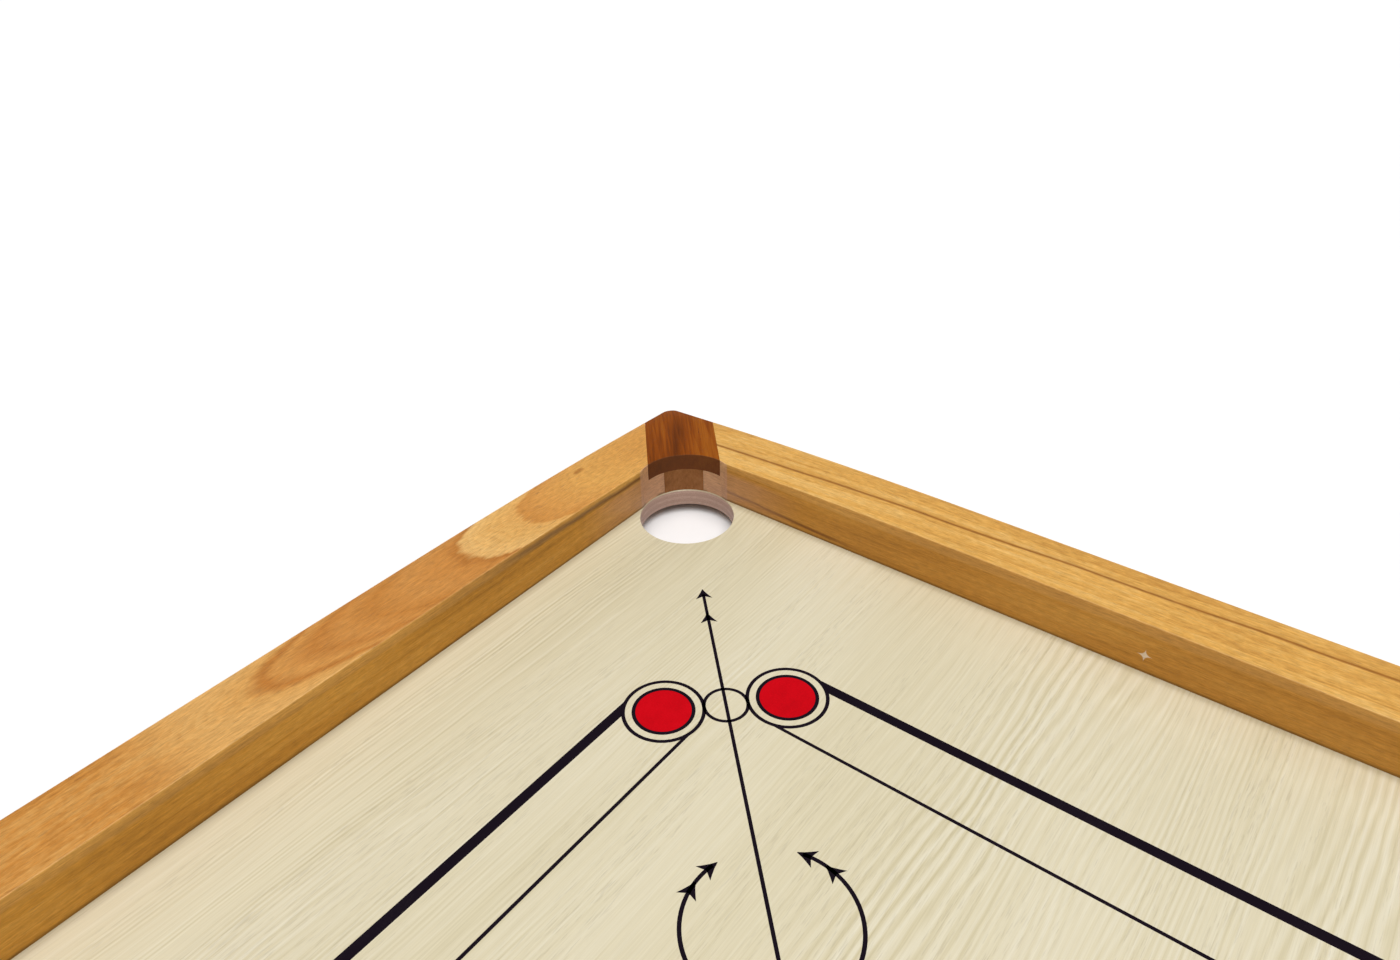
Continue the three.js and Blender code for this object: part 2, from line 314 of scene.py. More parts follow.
def round_edges(obj, chosen, width, steps=ROUND_STEPS):
    """Rounds the edges that chosen(edge) picks."""
    bm = bmesh.new()
    bm.from_mesh(obj.data)
    edges = [e for e in bm.edges if len(e.link_faces) == 2 and chosen(e)]
    bmesh.ops.bevel(
        bm, geom=edges, offset=width, segments=steps, profile=0.5, affect="EDGES", clamp_overlap=True
    )
    bmesh.ops.recalc_face_normals(bm, faces=bm.faces)
    bm.to_mesh(obj.data)
    bm.free()


def shade(obj, sharp=32):
    """Smooth shading, kept crisp where faces meet at more than `sharp` degrees."""
    obj.data.polygons.foreach_set("use_smooth", [True] * len(obj.data.polygons))
    obj.data.set_sharp_from_angle(angle=math.radians(sharp))


def turned_copy(obj, name, turn):
    """A copy turned by quarter turns about the board's middle, with its place in its mesh."""
    copy = new_object(name, obj.data.copy())
    copy.data.transform(Matrix.Rotation(turn * QUARTER, 4, "Z"))
    copy.data.name = name
    return copy


def add_piece(obj, slot, *nodes):
    """Puts a finished piece on the board and hides the CAD nodes it stands for; `slot` is not used."""
    shade(obj)
    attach(obj, "root")
    if nodes:
        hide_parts(*nodes)
    return obj


# ---- The frame: one ring, cut into rails, keys and inlays ----


def rail_top(x, y):
    """Height of the frame's top. Both rails fall towards a corner and meet there in a soft valley."""
    a, b = abs(x), abs(y)
    blend = min(1, max(0, 0.5 + 0.5 * (b - a) / VALLEY_WIDTH))
    along = b + (a - b) * blend - VALLEY_WIDTH * blend * (1 - blend)
    left = max(0, 1 - (HALF_SIDE - along) / FALL_LENGTH)
    return RAIL_HEIGHT - END_FALL * left * left


def ring_stations():
    """(inner point, outer point, outward normal) round one quarter, from the east rail to the north."""
    fall_start = HALF_SIDE - FALL_LENGTH
    fill_start = FIELD_HALF - CORNER_FILL
    falling = fill_start - fall_start
    ys = [*STRAIGHT_STATIONS]
    ys += [fall_start + falling * i / FALL_STEPS for i in range(FALL_STEPS + 1)]
    east = [(Vector((FIELD_HALF, y)), Vector((HALF_SIDE, y)), Vector((1, 0))) for y in ys]
    centre = HALF_SIDE - CORNER_RADIUS
    corner = []
    for i in range(ARC_STEPS + 1):
        angle = QUARTER * i / ARC_STEPS
        normal = Vector((math.cos(angle), math.sin(angle)))
        outer = Vector((centre, centre)) + normal * CORNER_RADIUS
        corner.append((Vector((fill_start, fill_start)), outer, normal))
    north = [tuple(v.yx for v in station) for station in reversed(east)]
    return east + corner + north[:-1]


def ring_profile(inner, outer, normal):
    """One closed cross-section of the frame, from the inner bottom edge over the top to the outer one."""
    across = (outer - inner).normalized()
    points = [(inner, 0.0), (inner, SURFACE_Z)]
    angles = [QUARTER * i / ROUND_STEPS for i in range(ROUND_STEPS + 1)]
    arc = [(1 - math.cos(a), 1 - math.sin(a)) for a in angles]
    for aside, down in arc:
        spot = inner + across * TOP_ROUND * aside
        points.append((spot, rail_top(*spot) - TOP_ROUND * down))
    first, last = inner + across * TOP_ROUND, outer - normal * TOP_ROUND
    for i in range(1, TOP_STEPS):
        spot = first.lerp(last, i / TOP_STEPS)
        points.append((spot, rail_top(*spot)))
    for aside, down in reversed(arc):
        spot = outer - normal * TOP_ROUND * aside
        points.append((spot, rail_top(*spot) - TOP_ROUND * down))
    points += [(outer - normal * BOTTOM_ROUND * aside, BOTTOM_ROUND * down) for aside, down in arc]
    return [(p.x, p.y, z) for p, z in points]


def frame_ring():
    """The whole frame as one closed ring."""
    quarter = [ring_profile(*station) for station in ring_stations()]
    loops = []
    for turn in range(4):
        turning = Matrix.Rotation(turn * QUARTER, 3, "Z")
        loops += [[turning @ Vector(p) for p in loop] for loop in quarter]
    return lofted("frame_ring", loops, len(loops[0]))


def pocket_cutter(turn=0):
    """A tall cylinder through the pocket that lies this many quarter turns from the north-east one."""
    profile = [(0, -REACH), (POCKET_RADIUS, -REACH), (POCKET_RADIUS, REACH), (0, REACH)]
    cutter = lathe_object("pocket_cutter", profile, POCKET_SEGMENTS)
    centre = Vector((POCKET_CENTRE, POCKET_CENTRE, 0))
    centre.rotate(Matrix.Rotation(turn * QUARTER, 3, "Z"))
    cutter.data.transform(Matrix.Translation(centre))
    return cutter


def corner_block(side_from, side_to, bottom, top, turn=0):
    """A block lying along the corner line, from behind the pocket out past the corner."""
    block = box_object("corner_block", (-REACH / 2, side_from, bottom), (REACH, side_to, top))
    place_it = (
        Matrix.Rotation(turn * QUARTER, 4, "Z")
        @ Matrix.Translation((POCKET_CENTRE, POCKET_CENTRE, 0))
        @ Matrix.Rotation(CORNER_ANGLE, 4, "Z")
    )
    block.data.transform(place_it)
    return block


def on_pocket_wall(point):
    """True for a point on the wall of the north-east pocket."""
    away = math.hypot(point.x - POCKET_CENTRE, point.y - POCKET_CENTRE)
    return abs(away - POCKET_RADIUS) < 0.05 * MM


def pocket_rim(edge):
    """True for the sharp upper edge of the pocket's wall, in the north-east corner."""
    ups = sorted(face.normal.z for face in edge.link_faces)
    return ups[0] < 0.3 and ups[1] > 0.9 and all(on_pocket_wall(v.co) for v in edge.verts)


def whole_frame():
    """The ring with the rebate for the sheet cut out of it, and the north-east pocket bored through."""
    ring = frame_ring()
    low = (-REBATE_HALF, -REBATE_HALF, -REACH)
    rebate = box_object("rebate", low, (REBATE_HALF, REBATE_HALF, SURFACE_Z))
    cut(ring, rebate)
    return cut(ring, pocket_cutter())


def make_rail(ring):
    """The east rail: the ring's east side, between the keys below and the inlays above."""
    rail = turned_copy(ring, "rail", 0)
    low = (FIELD_HALF - CORNER_FILL / 4, -FAR, -REACH)
    cut(rail, box_object("east_half", low, (FAR, FAR, REACH)), "INTERSECT")
    cut(rail, pocket_cutter(-1))
    for width, bottom in ((KEY_WIDTH, -REACH), (INLAY_WIDTH, INLAY_BED_Z)):
        side = width / 2 + GLUE_LINE
        cut(rail, corner_block(-side, REACH, bottom, REACH))
        cut(rail, corner_block(-REACH, side, bottom, REACH, -1))
    return rail


def make_corner_piece(ring, name, width, bottom, top):
    """The north-east key or inlay: a slice of the ring's corner along the corner line."""
    piece = turned_copy(ring, name, 0)
    low = (FIELD_HALF - 3 * CORNER_FILL, FIELD_HALF - 3 * CORNER_FILL, -REACH)
    cut(piece, box_object("corner_area", low, (FAR, FAR, REACH)), "INTERSECT")
    return cut(piece, corner_block(-width / 2, width / 2, bottom, top), "INTERSECT")


# ---- The playing board, its battens and the screws ----


def node_box(node):
    """Middle (x, y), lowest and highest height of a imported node."""
    low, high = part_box(node)
    return Vector(((low.x + high.x) / 2, (low.y + high.y) / 2, 0)), low.z, high.z


def joined(name, objects):
    """Joins separate closed meshes into one object."""
    bm = bmesh.new()
    for obj in objects:
        bm.from_mesh(obj.data)
        bpy.data.objects.remove(obj)
    return object_from(bm, name)


def countersinks(nodes):
    """Cutters for the screws' heads and shanks, a little wider than the screws."""
    cutters = []
    for node in nodes:
        middle, low, high = node_box(node)
        mouth, shank = HEAD_RADIUS + MOUTH_CLEARANCE, SHANK_RADIUS + HOLE_CLEARANCE
        profile = [(0, low - MM), (mouth, low - MM), (mouth, low)]
        profile += [(shank, low + HEAD_DEPTH), (shank, high), (0, high)]
        cutter = lathe_object("countersink", profile, 32)
        cutter.data.transform(Matrix.Translation(middle))
        cutters.append(cutter)
    return joined("countersinks", cutters)


def make_board():
    """The plywood sheet, with its four pockets, eased pocket rims and countersunk holes below."""
    low = (-BOARD_HALF, -BOARD_HALF, PLY_BOTTOM_Z)
    board = box_object("board", low, (BOARD_HALF, BOARD_HALF, SURFACE_Z))
    for turn in range(len(CORNERS)):
        cut(board, pocket_cutter(turn))

    def rim(edge):
        ups = sorted(abs(face.normal.z) for face in edge.link_faces)
        return ups[0] < 0.1 and ups[1] > 0.9

    round_edges(board, rim, BOARD_RIM_ROUND, 2)
    return cut(board, countersinks(RAIL_SCREWS))


def make_batten(node):
    """A wooden strip under the board, eased along its edges, with countersunk holes for its screws."""
    low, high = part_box(node)
    batten = box_object(node + "_batten", low, high)
    round_edges(batten, lambda edge: True, BATTEN_ROUND, 3)
    mine = []
    for screw in BATTEN_SCREWS:
        middle = node_box(screw)[0]
        if low.x < middle.x < high.x and low.y < middle.y < high.y:
            mine.append(screw)
    return cut(batten, countersinks(mine))


def recess_bar(turn):
    """One of the two crossed tapering bars that make a screw's recess."""
    bar = box_object("recess_bar", (-1, -1, -0.1 * MM), (1, 1, RECESS_DEPTH))
    for vertex in bar.data.vertices:
        at_head = vertex.co.z < RECESS_DEPTH / 2
        reach = RECESS_REACH if at_head else RECESS_FOOT
        half_width = RECESS_HALF_WIDTH if at_head else RECESS_HALF_WIDTH * 0.6
        vertex.co.x = math.copysign(reach, vertex.co.x)
        vertex.co.y = math.copysign(half_width, vertex.co.y)
    bar.data.transform(Matrix.Rotation(turn * QUARTER, 4, "Z"))
    return bar


def make_screw(name, length):
    """A countersunk wood screw standing head down: head, cross recess, shank, thread and point."""
    core, shank, head = CORE_RADIUS, SHANK_RADIUS, HEAD_RADIUS
    profile = [(0, 0), (head - 0.25 * MM, 0), (head, 0.12 * MM), (head, 0.3 * MM)]
    profile += [(shank, HEAD_DEPTH), (shank, length * 0.35), (core, length * 0.38)]
    height = length * 0.4
    while height + THREAD_PITCH < length - 1.5 * MM:
        taper = min(1, (length - height) / THREAD_TAPER)
        profile += [(core * taper, height), (shank * taper, height + THREAD_PITCH * 0.4)]
        profile += [(core * taper, height + THREAD_PITCH * 0.8)]
        height += THREAD_PITCH
    profile += [(core * 0.3, length - 0.6 * MM), (0, length)]
    screw = lathe_object(name, profile, 28)
    cut(screw, recess_bar(0))
    return cut(screw, recess_bar(1))


# ---- The print: thin films of ink and red paint on the board ----


def polar(centre, radius, angle):
    """A point at this radius and angle from a centre."""
    return Vector((centre[0] + radius * math.cos(angle), centre[1] + radius * math.sin(angle)))


def film(name, outline, holes=()):
    """A thin closed film on the board, with this outline and these holes."""
    bm = bmesh.new()
    edges = []
    for loop in [outline, *holes]:
        verts = [bm.verts.new((p[0], p[1], 0)) for p in loop]
        edges += [bm.edges.new((verts[i], verts[(i + 1) % len(verts)])) for i in range(len(verts))]
    bmesh.ops.triangle_fill(bm, use_beauty=True, edges=edges)
    made = bmesh.ops.extrude_face_region(bm, geom=bm.faces[:])
    raised = [item for item in made["geom"] if isinstance(item, bmesh.types.BMVert)]
    for vert in bm.verts:
        vert.co.z = SURFACE_Z - FILM_SINK
    for vert in raised:
        vert.co.z = SURFACE_Z + INK_THICKNESS
    bmesh.ops.recalc_face_normals(bm, faces=bm.faces)
    return object_from(bm, name)


def circle_points(centre, radius):
    return [polar(centre, radius, 2 * math.pi * i / CIRCLE_STEPS) for i in range(CIRCLE_STEPS)]


def ring_film(name, centre, radius, width):
    inner = circle_points(centre, radius - width / 2)
    return film(name, circle_points(centre, radius + width / 2), [inner])


def disc_film(name, centre, radius):
    return film(name, circle_points(centre, radius))


def arc_film(name, centre, radius, width, start, end):
    """A strip along an arc, from start to end, anticlockwise."""
    count = max(8, int(abs(end - start) / ARC_STEP))
    angles = [start + (end - start) * i / count for i in range(count + 1)]
    outline = [polar(centre, radius + width / 2, a) for a in angles]
    outline += [polar(centre, radius - width / 2, a) for a in reversed(angles)]
    return film(name, outline)


def line_film(name, start, end, width):
    """A straight strip between two points."""
    start, end = Vector(start), Vector(end)
    side = (end - start).orthogonal().normalized() * width / 2
    return film(name, [start + side, end + side, end - side, start - side])


def arrow_film(name, tip, heading):
    """An arrowhead with hollow flanks and a notched back, pointing along heading."""
    length, half_width = HEAD_LENGTH, HEAD_HALF_WIDTH
    heading = Vector(heading).normalized()
    side = Vector((-heading.y, heading.x))
    tip = Vector(tip)

    def at(back, out):
        return tip - heading * back + side * out

    flank = [(0, HEAD_TIP_HALF_WIDTH), (length * 0.35, half_width * 0.3)]
    flank += [(length * 0.7, half_width * 0.66), (length, half_width)]
    outline = [at(back, out) for back, out in flank] + [at(HEAD_NOTCH, 0)]
    outline += [at(back, -out) for back, out in reversed(flank)]
    return film(name, outline)


def base_print():
    """The east side's thick and thin lines between two ringed circles, and the circles' red discs."""
    parts = []
    x_circle = FIELD_HALF - BASE_CIRCLE_OFF
    y_circle = FIELD_HALF - BASE_CIRCLE_IN
    outer = BASE_RING + LINE_WIDTH / 2
    thin_line = (THIN_MIDDLE - THIN_WIDTH / 2, THIN_MIDDLE + THIN_WIDTH / 2)
    for near, far in [(THICK_NEAR, THICK_FAR), thin_line]:
        ends = []
        for i in range(5):
            x = FIELD_HALF - near - (far - near) * i / 4
            reach = y_circle - math.sqrt(max(0, outer**2 - (x - x_circle) ** 2)) + LINE_LAP
            ends.append(Vector((x, reach)))
        outline = ends + [Vector((p.x, -p.y)) for p in reversed(ends)]
        parts.append(film("base_line", outline))
    for sign in (-1, 1):
        centre = (x_circle, sign * y_circle)
        parts.append(ring_film("base_ring", centre, BASE_RING, LINE_WIDTH))
        parts.append(ring_film("base_inner_ring", centre, BASE_DISC + LINE_WIDTH / 2, LINE_WIDTH))
    lines = joined("base_lines", parts)
    discs = [disc_film("disc", (x_circle, sign * y_circle), BASE_DISC) for sign in (-1, 1)]
    return lines, joined("base_discs", discs)


def diagonal_point(distance):
    """A point on the board's diagonal, this far from the field's north-east corner."""
    return Vector((1, 1)) * (FIELD_HALF - distance / math.sqrt(2))


def corner_print():
    """North-east corner: the long arrow, the small circle on it and the arc with its arrowheads."""
    outwards = Vector((1, 1)).normalized()
    line_start = diagonal_point(ARROW_TIP + LINE_IN_HEAD)
    parts = [line_film("arrow_line", line_start, diagonal_point(ARROW_END), THIN_WIDTH)]
    parts += [arrow_film("tip", diagonal_point(at), outwards) for at in (ARROW_TIP, ARROW_SECOND)]
    parts.append(ring_film("small_circle", diagonal_point(SMALL_CIRCLE_AT), SMALL_CIRCLE, THIN_WIDTH))
    centre = diagonal_point(ARC_AT)
    corner_way = math.radians(45)
    gap = math.radians(ARC_TIPS[0])
    start = corner_way + gap + ARC_STEP
    end = corner_way + 2 * math.pi - gap - ARC_STEP
    parts.append(arc_film("arc", centre, ARC_RADIUS, LINE_WIDTH, start, end))
    for sign in (-1, 1):
        for tip_angle in ARC_TIPS:
            angle = corner_way + sign * math.radians(tip_angle)
            back_angle = angle + sign * HEAD_LENGTH / ARC_RADIUS
            tip = polar(centre, ARC_RADIUS, angle)
            heading = tip - polar(centre, ARC_RADIUS, back_angle)
            parts.append(arrow_film("arc_tip", tip, heading))
    return joined("corner_arrow", parts)


def centre_print():
    """A small ring in the middle of a large double ring, joined by eight plain petals."""
    parts = [ring_film("centre_ring", (0, 0), BASE_RING, LINE_WIDTH)]
    parts.append(ring_film("outer_ring", (0, 0), CENTRE_RING, LINE_WIDTH))
    parts.append(ring_film("second_ring", (0, 0), SECOND_RING, THIN_WIDTH / 2))
    base = BASE_RING + LINE_WIDTH / 2 - LINE_LAP
    radius = (PETAL_TIP - base) / (2 * math.sin(PETAL_SWING))
    for i in range(PETALS):
        turn = 2 * math.pi / PETALS * i
        for sign in (-1, 1):
            centre = Vector(((base + PETAL_TIP) / 2, sign * radius * math.cos(PETAL_SWING)))
            centre.rotate(Matrix.Rotation(turn, 2))
            facing = turn - sign * QUARTER
            start, end = facing - PETAL_SWING, facing + PETAL_SWING
            parts.append(arc_film("petal", centre, radius, LINE_WIDTH, start, end))
    return joined("centre_rosette", parts)


# ---- Materials ----


def fill_ramp(node, stops):
    """Sets a colour ramp's (place, linear colour) stops."""
    elements = node.color_ramp.elements
    while len(elements) < len(stops):
        elements.new(0.5)
    for element, (at, colour) in zip(elements, stops):
        element.position = at
        element.color = (*colour, 1)


class Paint:
    """Builds the nodes of one material. Positions are in millimetres."""

    def __init__(self, name, roughness, specular):
        self.material = bpy.data.materials.new(name)
        self.material.use_nodes = True
        self.tree = self.material.node_tree
        self.tree.nodes.clear()
        output = self.tree.nodes.new("ShaderNodeOutputMaterial")
        self.shader = self.tree.nodes.new("ShaderNodeBsdfPrincipled")
        self.tree.links.new(self.shader.outputs["BSDF"], output.inputs["Surface"])
        self.shader.inputs["Roughness"].default_value = roughness
        self.shader.inputs["Specular IOR Level"].default_value = specular

    def feed(self, socket, value):
        if isinstance(value, bpy.types.NodeSocket):
            self.tree.links.new(value, socket)
        elif socket.type == "RGBA":
            socket.default_value = (*value, 1)
        else:
            socket.default_value = value

    def add(self, kind, inputs, **settings):
        node = self.tree.nodes.new(kind)
        for key, value in settings.items():
            setattr(node, key, value)
        for key, value in inputs.items():
            self.feed(node.inputs[key], value)
        return node

    def math(self, operation, a, b=0.0, clamp=False):
        node = self.add("ShaderNodeMath", {0: a, 1: b}, operation=operation, use_clamp=clamp)
        return node.outputs[0]

    def times(self, a, b):
        return self.math("MULTIPLY", a, b)

    def plus(self, a, b):
        return self.math("ADD", a, b)

    def minus(self, a, b):
        return self.math("SUBTRACT", a, b)

    def size(self, value):
        return self.math("ABSOLUTE", value)

    def inverse(self, value):
        """1 less the value, which turns a mask round."""
        return self.math("SUBTRACT", 1.0, value)

    def distance(self, a, b):
        """Length of the vector (a, b)."""
        return self.math("SQRT", self.plus(self.times(a, a), self.times(b, b)))

    def total(self, *terms):
        """Sum of (socket, weight) pairs."""
        result = None
        for socket, weight in terms:
            part = self.times(socket, weight)
            result = part if result is None else self.plus(result, part)
        return result

    def step(self, value, low, high):
        """0 below low, 1 above high, smooth between."""
        inputs = {"Value": value, "From Min": low, "From Max": high}
        node = self.add("ShaderNodeMapRange", inputs, interpolation_type="SMOOTHSTEP")
        return node.outputs["Result"]

    def bump_at(self, value, middle, half):
        """1 at middle, falling to 0 at half either side."""
        away = self.size(self.minus(value, middle))
        return self.inverse(self.step(away, 0, half))

    def mix(self, factor, a, b, blend="MIX"):
        """Blends colour a with colour b."""
        node = self.add("ShaderNodeMix", {}, data_type="RGBA", blend_type=blend)
        self.feed(node.inputs[0], factor)
        self.feed(node.inputs[6], a)
        self.feed(node.inputs[7], b)
        return node.outputs[2]

    def blend(self, colour, other, mask, strength):
        """The colour, with this much of another where the mask is 1."""
        return self.mix(self.times(mask, strength), colour, other)

    def brighten(self, colour, *terms):
        """Multiplies a colour by 1 plus the terms' total."""
        light = self.plus(self.total(*terms), 1.0)
        channels = self.add("ShaderNodeCombineColor", {"Red": light, "Green": light, "Blue": light})
        return self.mix(1.0, colour, channels.outputs["Color"], "MULTIPLY")

    def ramp(self, factor, stops):
        """A colour ramp of (place, linear colour) stops."""
        node = self.add("ShaderNodeValToRGB", {"Fac": factor})
        fill_ramp(node, stops)
        return node.outputs["Color"]

    def toned(self, value, shift, tones):
        """A dark, a middle or a light tone, where the value plus the shift is 0.1, 0.5 or 0.9."""
        shifted = self.math("ADD", value, shift, clamp=True)
        return self.ramp(shifted, list(zip((0.1, 0.5, 0.9), tones)))

    def local(self, turn, shift=(0, 0, 0)):
        """Position in millimetres in a frame turned by `turn` degrees about Z, less `shift`."""
        source = self.add("ShaderNodeTexCoord", {}).outputs["Object"]
        inputs = {"Vector": source, "Scale": (1000,) * 3}
        inputs["Rotation"] = (0, 0, -math.radians(turn))
        inputs["Location"] = [-s for s in shift]
        return self.add("ShaderNodeMapping", inputs).outputs["Vector"]

    def split(self, vector):
        node = self.add("ShaderNodeSeparateXYZ", {"Vector": vector})
        return node.outputs["X"], node.outputs["Y"], node.outputs["Z"]

    def noise(self, vector, sizes, seed, detail=2.0, rough=0.5):
        """Noise about 0.5 whose features are as large as sizes, along each axis."""
        inputs = {0: vector, 1: [1 / s for s in sizes]}
        scaled = self.add("ShaderNodeVectorMath", inputs, operation="MULTIPLY").outputs["Vector"]
        inputs = {"Vector": scaled, "W": seed, "Scale": 1.0, "Detail": detail, "Roughness": rough}
        return self.add("ShaderNodeTexNoise", inputs, noise_dimensions="4D").outputs["Fac"]

    def sway(self, vector, sizes, seed, detail=2.0, rough=0.5):
        """The same noise, about 0."""
        return self.minus(self.noise(vector, sizes, seed, detail, rough), 0.5)

    def bump(self, depth, *terms):
        """Bump of `depth` millimetres where the terms' total is 1."""
        inputs = {"Height": self.total(*terms), "Strength": 1.0, "Distance": depth * MM}
        node = self.add("ShaderNodeBump", inputs)
        self.feed(self.shader.inputs["Normal"], node.outputs["Normal"])

    def finish(self, colour, roughness=None, *terms):
        """The material, with this colour and the roughness plus the terms' total."""
        self.feed(self.shader.inputs["Base Color"], colour)
        if terms:
            self.feed(self.shader.inputs["Roughness"], self.plus(self.total(*terms), roughness))
        return self.material


def shaded(colour, factor):
    return tuple(c * factor for c in colour)


def wood_grain(paint, place, seed, ring_middle, ring_gap, ring_lean=0.0, warp=10.0):
    """Growth rings round a far middle, and grain that runs along local Y.

    Returns (late wood, streaks, blotches, fibres, pores), the first and last 0 to 1, the rest about 0.
    """
    across, along, up = paint.split(place)
    wander = paint.sway(place, (30, 170, 30), seed, 1.5)
    across = paint.plus(across, paint.times(wander, warp))
    across = paint.plus(across, paint.times(along, ring_lean))
    dx = paint.minus(across, ring_middle[0])
    dz = paint.minus(up, ring_middle[1])
    radius = paint.distance(dx, dz)
    fine_wander = paint.sway(place, (6, 60, 6), seed + 3, 2)
    rings = paint.total((radius, 1 / ring_gap), (fine_wander, 0.5))
    saw = paint.math("FRACT", rings)
    late = paint.math("POWER", saw, 2.5)
    late = paint.times(late, paint.inverse(paint.step(saw, 0.93, 1)))
    streak = paint.sway(place, (1.7, 150, 4), seed + 5, 4, 0.6)
    blotch = paint.sway(place, (16, 90, 16), seed + 7, 2)
    fibre = paint.sway(place, (0.32, 22, 0.6), seed + 9, 3, 0.6)
    pores = paint.step(paint.noise(place, (0.3, 6, 0.3), seed + 11, 1), 0.66, 0.74)
    return late, streak, blotch, fibre, pores


def rail_wood(side, turn):
    """Lacquered hardwood of one rail. Local X is out from the rail's inner face, local Y along it."""
    tones, face_tones, rings, face_streaks = RAIL_WOODS[side]
    seed = 10 + 13 * turn
    paint = Paint(f"rail_wood_{side}", 0.32, 0.2)
    place = paint.local(90 * turn, (FIELD_HALF / MM, 0, 0))
    out, along, up = paint.split(place)
    late, streak, blotch, fibre, pores = wood_grain(paint, place, seed, *rings)
    mottle = paint.sway(place, (2.2, 5, 2.2), seed + 13, 3, 0.6)
    tone = paint.total((late, -0.22), (streak, 0.75), (blotch, 0.7), (mottle, 0.7))
    colour = paint.toned(tone, 0.58, tones)
    tone = paint.total((late, -0.12), (streak, face_streaks), (blotch, 0.8), (mottle, 0.3))
    face = paint.toned(tone, 0.54, face_tones)
    if side == "north":
        colour = north_figure(paint, colour, out, along, place)
    if side == "east":
        colour = east_figure(paint, colour, out, along, place)
    if side in LONG_STREAKS:
        face = face_streak(paint, face, along, up, place, *LONG_STREAKS[side])
    if side == "east":
        face = face_chip(paint, face, along, up)
    on_face = paint.inverse(paint.step(out, 0.03, 0.4))
    colour = bore_wood_and_reflection(paint, paint.mix(on_face, colour, face))
    colour = edge_highlight_and_foot_shade(paint, colour, out, up)
    colour = paint.blend(colour, shaded(tones[0], 0.35), pores, 0.45)
    fleck = paint.sway(place, (0.7, 4.5, 0.7), seed + 17, 3, 0.7)
    colour = paint.brighten(colour, (fibre, 0.5), (fleck, 1.0))
    paint.bump(0.06, (fibre, 0.5), (pores, -1.0))
    return paint.finish(colour, 0.34, (fibre, 0.25), (blotch, 0.12))


def face_streak(paint, colour, along, up, place, start, height, rise, width, tone):
    """A dark growth streak on the rail's inner face, from `start` along it towards the north-east."""
    beyond = paint.minus(paint.times(along, math.copysign(1, start)), abs(start))
    wobble = paint.sway(place, (8, 22, 8), 91, 2)
    line = paint.plus(paint.total((beyond, rise), (wobble, 2.5)), height)
    mark = paint.bump_at(paint.minus(up, line), 0.0, width)
    mark = paint.times(mark, paint.step(beyond, 0, 30))
    return paint.blend(colour, tone, mark, 0.85)


def face_chip(paint, colour, along, up):
    """A small pale four-pointed nick in the lacquer of the east rail's inner face."""
    beside = paint.math("SQRT", paint.size(paint.minus(along, CHIP_AT[0])))
    above = paint.math("SQRT", paint.size(paint.minus(up, CHIP_AT[1])))
    nick = paint.inverse(paint.step(paint.plus(beside, above), 1.6, 2.0))
    return paint.blend(colour, CHIP, nick, 0.85)


def edge_highlight_and_foot_shade(paint, colour, out, up):
    """Painted highlight, paler along the inner top edge, and painted shade where the face meets the
    board.
    """
    top = RAIL_HEIGHT / MM
    # Painted highlight: a paler band along the inner top edge, where the rounded edge catches the light.
    near_edge = paint.times(paint.bump_at(out, 0.25, 0.7), paint.step(up, top - 6, top - 4))
    colour = paint.blend(colour, EDGE_HIGHLIGHT, near_edge, 0.15)
    # Painted shade: a dark contact shadow along the foot of the inner face, where it meets the board.
    foot = paint.inverse(paint.step(up, SURFACE_Z / MM + 0.3, SURFACE_Z / MM + 1.8))
    foot = paint.times(foot, paint.inverse(paint.step(out, 0.5, 1)))
    return paint.blend(colour, RAIL_FOOT_SHADE, foot, 0.6)


def bore_wall(paint):
    """How much a point is on a pocket's wall, and how close it is to a pocket (both 0 to 1)."""
    x, y = paint.split(paint.local(0))[:2]
    dx = paint.minus(paint.size(x), POCKET_CENTRE / MM)
    dy = paint.minus(paint.size(y), POCKET_CENTRE / MM)
    away = paint.minus(paint.distance(dx, dy), POCKET_RADIUS / MM)
    on_wall = paint.inverse(paint.step(away, 0.15, 0.6))
    return on_wall, paint.inverse(paint.step(away, 0, 38))


def bore_wood_and_reflection(paint, colour):
    """Paler, pinker wood where the bore went through the stain, plus a painted reflection of the pale
    pocket on the walls and near them.
    """
    z = paint.split(paint.local(0))[2]
    on_wall, near = bore_wall(paint)
    low = paint.inverse(paint.step(z, RAIL_HEIGHT / MM - 9, RAIL_HEIGHT / MM - 5))
    near = paint.times(near, low)
    # Painted reflection: the rails' lower parts within 38 mm of a pocket are made paler and pinker.
    colour = paint.blend(colour, BARE_WOOD_AND_REFLECTION, near, 0.4)
    # On the pocket wall itself: bare wood and painted reflection together.
    return paint.blend(colour, BARE_WOOD_AND_REFLECTION, on_wall, 0.7)


